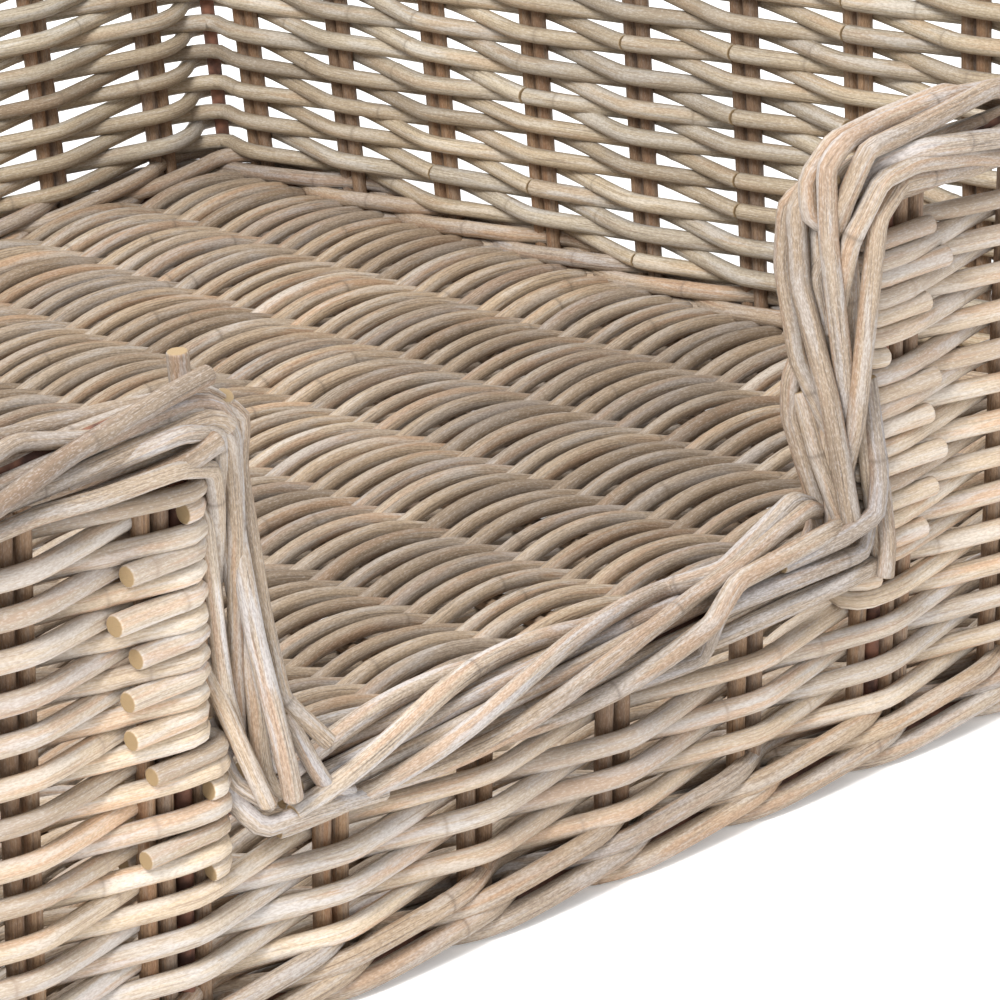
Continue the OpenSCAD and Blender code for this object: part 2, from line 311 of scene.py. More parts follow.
def woven_piece(name, poles, finish, nodes, sides=10):
    """Makes the canes of one piece, hides the CAD nodes that it stands for and puts it on the basket."""
    lines = bpy.data.meshes.new(name + "_lines")
    points = np.concatenate([p.points for p in poles])
    edges, first = [], 0
    for p in poles:
        steps = np.arange(first, first + len(p.points) - 1)
        edges.append(np.stack([steps, steps + 1], axis=1))
        first += len(p.points)
    lines.from_pydata(points.tolist(), np.concatenate(edges).tolist(), [])
    for key in ("girth", "along", "tone", "core", "knot"):
        values = lines.attributes.new(key, "FLOAT", "POINT")
        values.data.foreach_set("value", np.concatenate([getattr(p, key) for p in poles]).astype(np.float32))
    holder = bpy.data.objects.new(name + "_lines", lines)
    scene.collection.objects.link(holder)
    maker = holder.modifiers.new("canes", "NODES")
    maker.node_group = cane_maker
    sockets = {s.name: s.identifier for s in cane_maker.interface.items_tree if s.in_out == "INPUT"}
    maker[sockets["Sides"]] = sides
    maker[sockets["Finish"]] = finish
    seen = holder.evaluated_get(bpy.context.evaluated_depsgraph_get())
    mesh = bpy.data.meshes.new_from_object(seen)
    holder.modifiers.clear()
    bpy.data.objects.remove(holder)
    mesh.name = name
    piece = bpy.data.objects.new(name, mesh)
    scene.collection.objects.link(piece)
    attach(piece, "root")
    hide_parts(*nodes)
    return piece


def cane_finish(name, light, warm, dark, grey, grey_share=0.5, warm_share=0.5):
    """Dry peeled cane: ridges along it, grey weathered streaks, warm patches, dark rings at leaf nodes."""
    cane = bpy.data.materials.new(name)
    cane.use_nodes = True
    tree = cane.node_tree
    skin = tree.nodes["Principled BSDF"]

    def read(key, output="Fac"):
        made = shader(cane, "Attribute", attribute_name=key)
        return made.outputs[output]

    def number(operation, a, b, clamp=False):
        made = shader(cane, "Math", operation=operation, use_clamp=clamp)
        for socket, value in zip(made.inputs, (a, b)):
            if isinstance(value, (int, float)):
                socket.default_value = value
            else:
                tree.links.new(value, socket)
        return made.outputs[0]

    def ramp(value, low, high):
        made = shader(cane, "MapRange", clamp=True, interpolation_type="SMOOTHSTEP")
        made.inputs["From Min"].default_value = low
        made.inputs["From Max"].default_value = high
        tree.links.new(value, made.inputs["Value"])
        return made.outputs["Result"]

    def blend(amount, first, second, kind="MIX"):
        made = shader(cane, "Mix", data_type="RGBA", blend_type=kind, clamp_factor=True)
        for socket, value in ((made.inputs[0], amount), (made.inputs[6], first), (made.inputs[7], second)):
            if isinstance(value, (int, float, tuple)):
                socket.default_value = value
            else:
                tree.links.new(value, socket)
        return made.outputs[2]

    section, along, tone = read("section", "Vector"), read("along"), read("tone")

    def grain(round_scale, long_scale, shift, detail=3.0):
        """Noise that is long_scale cells to the metre along the cane, and finer around it."""
        around = shader(cane, "VectorMath", operation="SCALE")
        tree.links.new(section, around.inputs[0])
        around.inputs["Scale"].default_value = round_scale
        length = shader(cane, "CombineXYZ")
        tree.links.new(number("MULTIPLY", tone, 57.0 + shift), length.inputs["X"])
        tree.links.new(number("MULTIPLY", tone, 31.0 + 3 * shift), length.inputs["Y"])
        tree.links.new(number("MULTIPLY", along, long_scale), length.inputs["Z"])
        spot = shader(cane, "VectorMath", operation="ADD")
        tree.links.new(around.outputs[0], spot.inputs[0])
        tree.links.new(length.outputs[0], spot.inputs[1])
        noise = shader(cane, "TexNoise")
        noise.inputs["Scale"].default_value = 1.0
        noise.inputs["Detail"].default_value = detail
        noise.inputs["Roughness"].default_value = 0.6
        tree.links.new(spot.outputs[0], noise.inputs["Vector"])
        return noise.outputs["Fac"]

    ridges = grain(6.0, 40.0, 0.0, 4.0)
    pores = grain(7.0, 650.0, 3.0, 2.0)
    streaks = grain(1.1, 30.0, 7.0, 6.0)
    patches = grain(0.6, 11.0, 11.0, 4.0)
    own = grain(0.0, 2.0, 17.0, 1.0)

    colour = blend(ramp(ridges, 0.22, 0.58), dark, light)
    colour = blend(number("MULTIPLY", ramp(patches, 0.50, 0.62), warm_share), colour, warm)
    colour = blend(number("MULTIPLY", ramp(streaks, 0.47, 0.60), grey_share), colour, grey)
    shade = shader(cane, "ValToRGB")
    stops = shade.color_ramp.elements
    stops[0].color = (0.58, 0.53, 0.48, 1)
    stops[1].color = (1.10, 1.09, 1.08, 1)
    for at, tint in ((0.2, (0.92, 0.85, 0.77, 1)), (0.48, (1.08, 1.03, 0.96, 1)),
                     (0.72, (0.78, 0.78, 0.81, 1))):
        stops.new(at).color = tint
    tree.links.new(tone, shade.inputs["Fac"])
    colour = blend(0.95, colour, shade.outputs["Color"], "MULTIPLY")
    colour = blend(number("MULTIPLY", ramp(own, 0.35, 0.65), 0.22), colour, dark)
    place = shader(cane, "TexCoord")
    weather = shader(cane, "TexNoise")
    weather.inputs["Scale"].default_value = 5.0
    tree.links.new(place.outputs["Object"], weather.inputs["Vector"])
    colour = blend(number("MULTIPLY", ramp(weather.outputs["Fac"], 0.42, 0.66), 0.42), colour, dark)
    colour = blend(number("MULTIPLY", ramp(pores, 0.44, 0.66), 0.34), colour, dark)
    colour = blend(number("MULTIPLY", ramp(pores, 0.50, 0.30), 0.25), colour, grey)
    colour = blend(number("MULTIPLY", read("knot"), 0.55), colour, dark)
    # Cut ends get a yellowish brown that is partly the cane's core colour and partly painted shade, darkened
    # for cut faces that turn away from the light.
    colour = blend(read("core"), colour, srgb(152, 130, 98))
    tree.links.new(colour, skin.inputs["Base Color"])

    rough = shader(cane, "MapRange")
    rough.inputs["To Min"].default_value = 0.52
    rough.inputs["To Max"].default_value = 0.78
    tree.links.new(ridges, rough.inputs["Value"])
    tree.links.new(rough.outputs["Result"], skin.inputs["Roughness"])
    skin.inputs["Specular IOR Level"].default_value = 0.32
    height = number("ADD", ridges, number("MULTIPLY", pores, 0.35))
    lines = shader(cane, "Bump")
    lines.inputs["Strength"].default_value = 0.55
    lines.inputs["Distance"].default_value = 0.45 * mm
    tree.links.new(height, lines.inputs["Height"])
    tree.links.new(lines.outputs["Normal"], skin.inputs["Normal"])
    return cane


floor_stake_cane = cane_finish("floor_stake_cane", srgb(150, 128, 104), srgb(168, 128, 92), srgb(92, 74, 58),
                               srgb(150, 142, 134), 0.35, 0.4)


def sway(line, amount, seed):
    """The same line with a small bend of its own."""
    line = np.asarray(line, float).copy()
    run = np.concatenate([[0], np.cumsum(np.linalg.norm(np.diff(line, axis=0), axis=1))])
    ends = np.minimum(1, np.minimum(run, run[-1] - run) / (25 * mm))
    for axis in range(3):
        line[:, axis] += amount * ends * wobble(run, seed + 11 * axis, (1.0, 1.0, 0.6))
    return line


def straight(a, b, step=4 * mm):
    count = max(3, int(np.linalg.norm(b - a) / step))
    return a + (b - a) * np.linspace(0, 1, count)[:, None]


floor_stake_r = 2.5 * mm
floor_poles = [Pole(sway(straight(a, b), 0.3 * mm, 100 + n), floor_stake_r, 100 + n, 9 * mm)
               for n, (a, b) in enumerate(stake_lines("floor_stakes"))]
woven_piece("floor_stakes_cane", floor_poles, floor_stake_cane, ["floor_stakes"], 8)


# ---- floor weave ----
# Single strands of cane woven over and under the pairs of floor stakes, each row pressed against the last.
# Seen from above each strand makes an arc over every second pair, so that the floor shows columns of arcs.
stake_xs = sorted(a[0] for a, b in stake_lines("wall_stakes_back"))
pair_xs = [(a + b) / 2 for a, b in zip(stake_xs[0::2], stake_xs[1::2])]
pitch = pair_xs[1] - pair_xs[0]
floor_lo, floor_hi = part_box("floor_weave")
floor_mid = (floor_lo.z + floor_hi.z) / 2
floor_strand_r = 3.4 * mm
floor_row = 6.25 * mm
tuck_under = 6 * mm
floor_swing = floor_stake_r + floor_strand_r
floor_spread, joint_reach = (0.86, 1.06), 0.28


def flatten(wave, hold=1.35):
    """A wave whose crests are broader, as a stiff cane lies over a pair of stakes."""
    return np.tanh(hold * wave) / math.tanh(hold)


def floor_strand(row, y):
    x = np.arange(floor_lo.x - tuck_under, floor_hi.x + tuck_under, 2.5 * mm)
    wave = np.cos(math.pi * ((x - pair_xs[0]) / pitch + row))
    z = floor_mid + floor_swing * flatten(wave, 0.8) * (0.92 + 0.08 * wobble(x, 700 + row)) + 0.3 * mm
    sweep = 2.6 * mm * np.sin(2 * math.pi * (x / 0.9 + 0.15)) + 1.6 * mm * wobble(x + 0.02 * y, 41)
    return np.stack([x, y + sweep + 1.5 * mm * wobble(x, 900 + row), z], axis=1)


floor_weave_cane = cane_finish("floor_weave_cane", srgb(172, 155, 134), srgb(170, 135, 106),
                               srgb(98, 85, 72), srgb(182, 176, 170), 0.6, 0.5)
rows = int((floor_hi.y - floor_lo.y + tuck_under) / floor_row)
halves = {"floor_weave_front_half": [], "floor_weave_back_half": []}
for row in range(rows + 1):
    luck = np.random.default_rng(500 + row)
    y = floor_lo.y - tuck_under / 2 + row * floor_row
    line = floor_strand(row, y)
    half = halves["floor_weave_front_half" if row <= rows / 2 else "floor_weave_back_half"]
    hidden = [x for k, x in enumerate(pair_xs) if (k + row) % 2 == 1 and abs(x) < joint_reach]
    joint = int(np.argmin(np.abs(line[:, 0] - luck.choice(hidden))))
    r = floor_strand_r * luck.uniform(*floor_spread)
    half.append(Pole(line[:joint], r, 500 + row, 6.5 * mm))
    half.append(Pole(line[joint:], r * luck.uniform(0.95, 1.05), 1500 + row, 6.5 * mm))
for name, poles in halves.items():
    woven_piece(name, poles, floor_weave_cane, ["floor_weave"], 8)


# ---- base wale ----
# The thick edge that the basket stands on: two turns of three stout canes, each cane passing outside two
# pairs of stakes and inside one, so that the canes climb over each other like a loose rope.
half_l = middle("base_wale_right").x
half_w = middle("base_wale_back").y
tall_a, tall_b = stake_lines("wall_stakes_back")[0]
lean = (tall_b[1] - tall_a[1]) / (tall_b[2] - tall_a[2])
ring_turn = 16 * mm
overlap = 1.5 * mm
around = 4 * (half_l + half_w)
first_pair = half_l - pair_xs[-1]


def ring_place(s, z, out, turn=ring_turn):
    """The point s round the basket from its front left corner, at height z, out from the wall's middle."""
    s = np.mod(np.asarray(s, float), around)
    z = np.broadcast_to(np.asarray(z, float), s.shape)
    out = np.broadcast_to(np.asarray(out, float), s.shape)
    corners = np.array([(-half_l, -half_w), (half_l, -half_w), (half_l, half_w), (-half_l, half_w)])
    faces = np.array([(0.0, -1.0), (1.0, 0.0), (0.0, 1.0), (-1.0, 0.0)])
    starts = np.cumsum([0, 2 * half_l, 2 * half_w, 2 * half_l])
    side = np.clip(np.searchsorted(starts, s, side="right") - 1, 0, 3)
    way = np.stack([-faces[side, 1], faces[side, 0]], axis=1)
    spot = corners[side] + way * (s - starts[side])[:, None]
    normal = faces[side]
    for k in range(4):
        past = np.mod(s - starts[k] + around / 2, around) - around / 2
        on = np.abs(past) < turn
        angle = ((past[on] / turn + 1) * math.pi / 4)[:, None]
        heart = corners[k] - turn * (faces[k - 1] + faces[k])
        normal[on] = faces[k - 1] * np.cos(angle) + faces[k] * np.sin(angle)
        spot[on] = heart + turn * normal[on]
    spot[:, 1] *= 1 + lean * z / half_w
    spot = spot + normal * out[:, None]
    return np.column_stack([spot, z])


def pair_count(s):
    """How many stake pairs lie between the first pair and the distance s round the basket."""
    return (s - first_pair) / pitch


wale_lo, wale_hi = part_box("base_wale_front")
wale_turns = ((7.3 * mm, 3.75 * mm, 8.6 * mm), (16.6 * mm, 3.45 * mm, 8.3 * mm))
wale_climb = 3.3 * mm
corner_s = (0.0, 2 * half_l, 2 * half_l + 2 * half_w, 4 * half_l + 2 * half_w, around)
wale_cane = cane_finish("wale_cane", srgb(186, 170, 150), srgb(186, 150, 120),
                        srgb(108, 92, 80), srgb(194, 190, 187), 0.6, 0.5)


def wale_line(s, strand, z, swing, climb):
    phase = 2 * math.pi * (pair_count(s) + strand + 0.5) / 3
    out = swing * flatten(np.cos(phase), 2.0)
    height = z + climb * np.sin(phase) + 0.35 * mm * wobble(s, 60 + int(strand))
    return ring_place(s, height, out)


for node, s0, s1 in zip(("base_wale_front", "base_wale_right", "base_wale_back", "base_wale_left"),
                        corner_s, corner_s[1:]):
    poles = []
    for turn_no, (z, radius, swing) in enumerate(wale_turns):
        for strand in range(3):
            s = np.arange(s0 - overlap, s1 + overlap + 1 * mm, 3 * mm)
            seed = 2000 + 10 * turn_no + strand
            poles.append(Pole(wale_line(s, strand + 0.2 * turn_no, z, swing, wale_climb), radius, seed,
                              5 * mm, (False, False), start=s0))
    woven_piece(node + "_cane", poles, wale_cane, [node], 12)


# ---- wall stakes ----
# Upright peeled poles in pairs, pushed down into the wale and up into the rim, browner than the strands.
# Three of them stand close to a steel post at each side of the entrance.
stake_r = 3 * mm
wall_stake_cane = cane_finish("wall_stake_cane", srgb(164, 136, 108), srgb(150, 112, 84), srgb(96, 74, 58),
                              srgb(160, 150, 140), 0.4, 0.5)
for n, node in enumerate(("wall_stakes_back", "wall_stakes_left", "wall_stakes_right",
                          "wall_stakes_front_left", "wall_stakes_front_right", "sill_stakes")):
    poles = [Pole(sway(straight(a, b), 0.35 * mm, 3000 + 100 * n + k), stake_r, 3000 + 100 * n + k)
             for k, (a, b) in enumerate(stake_lines(node))]
    woven_piece(node + "_cane", poles, wall_stake_cane, [node], 10)


# ---- wall weave ----
# Single strands woven in front of one stake pair and behind the next, each row the other way from the row
# below. A strand that ends is left on the inside and the next one starts there.
strand_r = 3.38 * mm
row_rise = 6.6 * mm
row_start = 4.4 * mm
wall_swing = stake_r + strand_r + 0.3 * mm
weave_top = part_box("wall_weave_back")[1].z
weave_rows = range(3, int((weave_top - row_start) / row_rise) + 1)
sill_lo, sill_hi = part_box("sill_border")
open_rows = [j for j in weave_rows if row_start + j * row_rise > sill_lo.z]
edge_x = min(a[0] for a, b in stake_lines("wall_stakes_front_right"))
edge_step, low_hooks_z = 8 * mm, 108 * mm
wall_turn = 10 * mm
corner_cut = wall_turn * (math.sqrt(2) - 1)
corner_ease = 1.3 * wall_turn
post_r = 3.5 * mm
post_swing = post_r + strand_r
cane_lengths = (0.7, 1.4)
strand_spread = (0.94, 1.09)
front_pairs = (pair_count(half_l - 2.5 * pitch), pair_count(half_l + 2.5 * pitch))


def straighten(wave, bend=0.955):
    """A wave that runs straight from crest to crest, as a stiff cane does between two stake pairs."""
    return np.arcsin(bend * wave) / math.asin(bend)


def row_height(j, s):
    shared = 1.1 * mm * wobble(np.asarray(s), 70 + j // 4) * min(1.0, (j - 2) / 5)
    return row_start + j * row_rise + shared + 0.65 * mm * wobble(np.asarray(s), 4000 + j)


def row_out(j, s, pairs=None):
    pairs = pair_count(s) if pairs is None else pairs
    wave = np.cos(math.pi * (pairs + j))
    past = np.min([np.abs(np.mod(s - at + around / 2, around) - around / 2) for at in corner_s], axis=0)
    at_post = np.exp(-(past / corner_ease) ** 2)
    round_post = corner_cut + post_swing * (-1) ** j
    return (wall_swing * straighten(wave) * (1 - at_post) + round_post * at_post
            + 0.35 * mm * wobble(np.asarray(s), 4200 + j))


def row_plan(j):
    """Where the canes of a row start and end, round the basket: always behind a stake pair."""
    luck = np.random.default_rng(4500 + j)
    low, high = (0.62 * around / 2, 0.98 * around) if j in open_rows else (0.02 * around, 0.98 * around)
    joints = []
    s = low + luck.uniform(0.0, 0.4)
    while s < high:
        pair = round(pair_count(s))
        pair += (pair + j + 1) % 2
        joints.append(first_pair + pair * pitch)
        s = joints[-1] + luck.uniform(*cane_lengths)
    ends = joints[1:] + [joints[0] + around]
    return [(a, b, 5000 + 20 * j + k) for k, (a, b) in enumerate(zip(joints, ends))]


def plan_at(j, s):
    """The cane of row j that lies at the distance s, as (its start, its seed)."""
    for a, b, seed in row_plan(j):
        for lap in (0, around):
            if a <= s + lap <= b:
                return a - lap, seed
    return 0.0, 5000 + j


def row_poles(j, s0, s1, step):
    """The canes of one row between two distances round the basket, with a little more to hide the joint."""
    s0, s1 = s0 - overlap, s1 + overlap
    gap = 0.4 * mm
    poles = []
    for a, b, seed in row_plan(j):
        for lap in (0, around):
            start, end = max(s0, a - lap), min(s1, b - lap)
            if end - start < 4 * mm:
                continue
            cuts = (start > s0, end < s1)
            count = int((end - start) / (2.5 * mm)) + 3
            s = np.linspace(start + gap * cuts[0], end - gap * cuts[1], count)
            line = ring_place(s, row_height(j, s), row_out(j, s), wall_turn)
            radius = strand_r * np.random.default_rng(seed).uniform(*strand_spread)
            poles.append(Pole(line, radius, seed, step, cuts, start=start - (a - lap)))
    return poles


inner_weave_cane = cane_finish("inner_weave_cane", srgb(198, 186, 164), srgb(190, 160, 128),
                               srgb(122, 109, 94), srgb(212, 209, 202), 0.62, 0.45)
for node, s0, s1 in zip(("wall_weave_right", "wall_weave_back", "wall_weave_left"),
                        corner_s[1:], corner_s[2:]):
    poles = [pole for j in weave_rows for pole in row_poles(j, s0, s1, 6 * mm)]
    woven_piece(node + "_cane", poles, inner_weave_cane, [node], 10)


# ---- front wall weave ----
# The same rows in lighter cane. Above the sill each strand turns round the last stake at the entrance and
# is cut square a thumb's width back on the other face, so that hooks and cut stubs alternate.
front_weave_cane = cane_finish("front_weave_cane", srgb(206, 192, 172), srgb(206, 163, 128),
                               srgb(148, 131, 116), srgb(212, 210, 208), 0.65, 0.5)
stub_mm, tail_drift_mm = (20, 30), 0.8
hidden_share, hidden_stub = 0.22, 2 * mm
stub_lift, stub_run = 0.9 * mm, 25 * mm


def edge_pole(j, hand):
    """The cane of row j from the corner to the entrance: hand -1 on the left and 1 on the right."""
    pair = front_pairs[0] if hand < 0 else front_pairs[1]
    luck = np.random.default_rng(6000 + 2 * j + (hand > 0))
    corner = -overlap if hand < 0 else 2 * half_l + overlap
    past = edge_step if hand < 0 and row_start + j * row_rise > low_hooks_z else 0.0
    edge = half_l + hand * (edge_x + past)
    s = np.linspace(corner, edge, int(abs(edge - corner) / (2.5 * mm)))
    pairs = np.minimum(pair_count(s), pair) if hand < 0 else np.maximum(pair_count(s), pair)
    out = row_out(j, s, pairs)
    face = 1 if round(pair + j) % 2 == 0 else -1
    swing = abs(out[-1])
    turn_angle = np.linspace(0, math.pi, 12)[1:]
    stub = luck.uniform(*stub_mm) * mm
    if luck.random() < hidden_share:
        stub = hidden_stub
    back_run = np.linspace(0, stub, 9)[1:]
    s_all = np.concatenate([s, edge - hand * swing * np.sin(turn_angle), edge + hand * back_run])
    lift_off = stub_lift * (back_run / stub_run) ** 2
    out_all = np.concatenate([out, face * swing * np.cos(turn_angle), -face * (swing + lift_off)])
    height = row_height(j, s)
    tail = height[-1] + np.linspace(0, luck.uniform(-tail_drift_mm, tail_drift_mm), len(s_all) - len(s)) * mm
    line = ring_place(s_all, np.concatenate([height, tail]), out_all, wall_turn)
    begin, seed = plan_at(j, corner)
    radius = strand_r * np.random.default_rng(seed).uniform(*strand_spread)
    return Pole(line, radius, seed, 4.5 * mm, (False, True), start=abs(corner - begin))


sill_ends = (half_l - edge_x, half_l + edge_x)
low_rows = [j for j in weave_rows if j not in open_rows]
for node, hand, s0, s1 in (("wall_weave_front_left", -1, 0.0, sill_ends[0]),
                           ("wall_weave_front_right", 1, sill_ends[1], 2 * half_l)):
    poles = [pole for j in low_rows for pole in row_poles(j, s0, s1, 5 * mm)]
    poles += [edge_pole(j, hand) for j in open_rows]
    woven_piece(node + "_cane", poles, front_weave_cane, [node], 12)
poles = [pole for j in low_rows for pole in row_poles(j, sill_ends[0], sill_ends[1], 5 * mm)]
woven_piece("sill_weave_cane", poles, front_weave_cane, ["sill_weave"], 12)


# ---- rims ----
# The rolled border along the top: six outer canes laid round six inner ones like a loose rope, over the
# steel rim rod and the stakes' ends. The canes are greyer there, where weather and hands reach them.
rim_lo, rim_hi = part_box("rim_back")
rim_mid = (rim_lo.z + rim_hi.z) / 2
rope_r = 3.35 * mm
rim_half = (rim_hi.z - rim_lo.z) / 2 - rope_r - 0.6 * mm
outer_lay, inner_lay = 2 * math.pi / 0.30, 2 * math.pi / 0.62
inner_share = 0.52
rope_strands = 6
past_corner = 20 * mm
border_cane = cane_finish("border_cane", srgb(190, 175, 157), srgb(186, 150, 120),
                          srgb(96, 84, 74), srgb(200, 198, 199), 0.7, 0.5)


def unit(v):
    return v / np.linalg.norm(v, axis=1)[:, None]


def ring_frame(s, z):
    """Middle line, outward and upward directions of a border that follows the wall."""
    heart = ring_place(s, z, 0.0)
    rise = unit(ring_place(s, z + 1 * mm, 0.0) - heart)
    out = unit(ring_place(s, z, 1 * mm) - heart)
    out = unit(out - rise * np.sum(out * rise, axis=1)[:, None])
    return heart, out, rise


def rope_line(heart, out, rise, angle, wide, tall):
    return heart + out * (wide * np.cos(angle))[:, None] + rise * (tall * np.sin(angle))[:, None]


def rope_angle(s, strand, layer):
    if layer == 0:
        return 2 * math.pi * strand / rope_strands + outer_lay * s + 0.24 * wobble(s, 7000 + strand)
    return 2 * math.pi * (strand + 0.5) / rope_strands + inner_lay * s + 0.15 * wobble(s, 7100 + strand)


def rope_poles(s):
    """The outer and the inner canes of the rim, along the distances s round the basket."""
    heart, out, rise = ring_frame(s, rim_mid)
    poles = []
    for layer in (0, 1):
        for strand in range(rope_strands):
            share = (1.0 + 0.05 * wobble(s, 7200 + strand)) if layer == 0 else inner_share * np.ones_like(s)
            angle = rope_angle(s, strand, layer)
            line = rope_line(heart, out, rise, angle, rim_half * share, rim_half * share)
            seed = 7300 + 10 * layer + strand
            radius = rope_r * np.random.default_rng(seed).uniform(0.9, 1.06)
            poles.append(Pole(line, radius, seed, 5 * mm, (False, False), start=float(s[0])))
    return poles


rim_ends = (corner_s[1] - past_corner, corner_s[2] + past_corner, corner_s[3] - past_corner,
            corner_s[4] + past_corner)
for node, s0, s1 in zip(("rim_right", "rim_back", "rim_left"), rim_ends, rim_ends[1:]):
    s = np.arange(s0, s1 + 1 * mm, 3 * mm)
    woven_piece(node + "_cane", rope_poles(s), border_cane, [node], 10)


# ---- entrance borders ----
# The rim's canes bend over the corner of the entrance and run down its side, where they are cut and tucked.
# Extra canes that start under the rim fill the side.
side_lo, side_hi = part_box("entrance_border_right")
side_mid = (side_lo.x + side_hi.x) / 2
sill_mid = (sill_lo.z + sill_hi.z) / 2
sill_half = (sill_hi.z - sill_lo.z) / 2 - rope_r
side_shapes = {1: (side_mid + 1 * mm, side_mid + 5 * mm, 8.0 * mm, 12.8 * mm),
               -1: (side_mid + 7 * mm, side_mid - 5 * mm, 5.5 * mm, 10.0 * mm)}
top_bend, low_bend = 15 * mm, 15 * mm
core_thick = 0.85


def smooth_step(value, low, high):
    t = np.clip((value - low) / (high - low), 0, 1)
    return t * t * (3 - 2 * t)


def entrance_path(hand, x_from, x_to):
    """The border's middle line from the rim at x_from, down the side and along the sill to x_to. Hand is 1
    for the right side and -1 for the left. With it come its directions, s, the half widths and the run."""
    step = 2.5 * mm
    x_top, x_low, side_tall, side_wide = side_shapes[hand]
    corner = np.linspace(0, math.pi / 2, 12)
    rim_x = np.arange(x_from, x_top + top_bend, -step)
    top = np.column_stack([x_top + top_bend - top_bend * np.sin(corner),
                           rim_mid - top_bend + top_bend * np.cos(corner)])
    side_z = np.arange(rim_mid - top_bend - step, sill_mid + low_bend, -step)
    side_x = x_top + (x_low - x_top) * smooth_step(-side_z, -rim_mid, -sill_mid)
    low = np.column_stack([x_low - low_bend + low_bend * np.cos(corner),
                           sill_mid + low_bend - low_bend * np.sin(corner)])
    sill_x = np.arange(x_low - low_bend - step, x_to, -step)
    flat = np.concatenate([np.column_stack([rim_x, np.full(len(rim_x), rim_mid)]), top,
                           np.column_stack([side_x, side_z]), low,
                           np.column_stack([sill_x, np.full(len(sill_x), sill_mid)])])
    run = np.concatenate([[0], np.cumsum(np.linalg.norm(np.diff(flat, axis=0), axis=1))])
    way = unit(np.gradient(flat, run, axis=0))
    s = half_l + hand * (x_from - run)
    down = smooth_step(run, x_from - x_top - 25 * mm, x_from - x_top + 15 * mm)
    turn_in = x_from - x_top + (rim_mid - sill_mid) - 2 * 0.43 * top_bend
    inward = smooth_step(run, turn_in - 30 * mm, turn_in + 10 * mm)
    wide = rim_half + (side_wide - rim_half) * down + (rim_half - side_wide) * inward
    tall = rim_half + (side_tall - rim_half) * down + (sill_half - side_tall) * inward
    slope = np.array([0, -lean, 1]) / math.hypot(1, lean)
    heart = np.column_stack([hand * flat[:, 0], -(half_w + lean * flat[:, 1]), flat[:, 1]])
    rise = hand * way[:, 1:2] * np.array([1.0, 0, 0]) - way[:, 0:1] * slope
    out = np.tile(np.array([0, -1, -lean]) / math.hypot(1, lean), (len(s), 1))
    return heart, out, rise, s, wide, tall, run


rim_from = half_l - past_corner
right_path = entrance_path(1, rim_from, -side_mid + 4 * mm)
left_path = entrance_path(-1, rim_from, 0.0)
over_top = rim_from - side_mid
to_sill = over_top + rim_mid - sill_mid - 13 * mm
sill_far = right_path[-1][-1]
sill_near = sill_far - 180 * mm
right_join, left_join = rim_from - 220 * mm, rim_from - 208 * mm


def rope_run(path, strand, start, stop, layer=0, share=1.0):
    """The middle line of one cane of the rolled border between two distances along an entrance path."""
    first, last = np.searchsorted(path[-1], (start, stop))
    heart, out, rise, s, wide, tall = (part[first:last] for part in path[:-1])
    return rope_line(heart, out, rise, rope_angle(s, strand, layer), wide * share, tall * share)


def joined_run(path, strand, start, stop):
    """The stretch of rolled border that a laid cane runs on with, or nothing for a cane of its own."""
    return None if strand is None else rope_run(path, strand, start, stop)


def bent(corners, bend=8 * mm, step=1.5 * mm):
    """A line through these corners that a stiff cane could take: every kink is rounded."""
    run = np.concatenate([[0], np.cumsum(np.linalg.norm(np.diff(corners, axis=0), axis=1))])
    even = np.arange(-bend, run[-1] + bend, step)
    line = np.column_stack([np.interp(even, run, corners[:, k]) for k in range(3)])
    first, last = unit(corners[1:2] - corners[:1])[0], unit(corners[-1:] - corners[-2:-1])[0]
    line += np.minimum(even, 0)[:, None] * first + np.maximum(even - run[-1], 0)[:, None] * last
    width = int(bend / step)
    kernel = np.hanning(width + 2)[1:-1]
    smooth = np.column_stack([np.convolve(line[:, k], kernel / kernel.sum(), "same") for k in range(3)])
    return smooth[width:-width]


def laid_cane(points, thick, seed, before=None, after=None, cuts=(True, True)):
    """One cane laid through points in mm: x, the distance out from the wall's middle, and the height.
    It can come out of the rolled border before them and go into it after them."""
    x, out, z = (np.array(points, float) * mm).T
    corners = np.column_stack([x, -(half_w + lean * z) - out, z])
    corners = np.concatenate([part for part in (before, corners, after) if part is not None])
    return Pole(bent(corners), rope_r * thick, seed, 3.5 * mm, cuts, start=0.01 * (seed % 10))


def core(path, start, stop, strands=range(rope_strands)):
    """The inner canes of the rolled border between two distances along an entrance path."""
    return [Pole(rope_run(path, k, start, stop, 1, inner_share), core_thick * rope_r, 7310 + k, 5 * mm)
            for k in strands]


# A corner or sill cane has its thickness, the strand of the rolled border that it joins (None for a cane of
# its own) and its bends. A side cane joins none, so it has its thickness and its bends.
right_corner_canes = [
    (0.98, 2, [(181, -5, 228), (150, -6, 226), (123, 1, 227), (115, -2, 216), (114, 0, 204), (119, 3, 200)]),
    (1.02, 1, [(176, 2, 229), (146, 2, 228), (120, 8, 228), (114, 7, 222), (115, 8, 197), (127, 8, 132),
               (129, 6, 122)]),
    (0.98, 0, [(190, 8, 230), (150, 10, 226), (125, 14, 226), (119, 10, 208), (122, 3, 191)]),
    (1.05, 5, [(189, 13, 214), (151, 13, 220), (135, 11, 219), (129, 3, 208)]),
    (0.98, 4, [(178, 10, 210), (148, 14, 216), (130, 16, 215), (121, 12, 196), (124, 2, 162)]),
    (0.98, 3, [(178, 8, 205), (141, 14, 211), (130, 15, 202), (128, 14, 171), (126, 12, 132),
               (129, 4, 110)]),
]
poles = [laid_cane(points, thick, 7400 + strand, before=joined_run(right_path, strand, 0, right_join),
                   cuts=(False, True))
         for thick, strand, points in right_corner_canes]
woven_piece("rim_front_right_cane", poles + core(right_path, 0, over_top - 2 * mm), border_cane,
            ["rim_front_right"], 12)

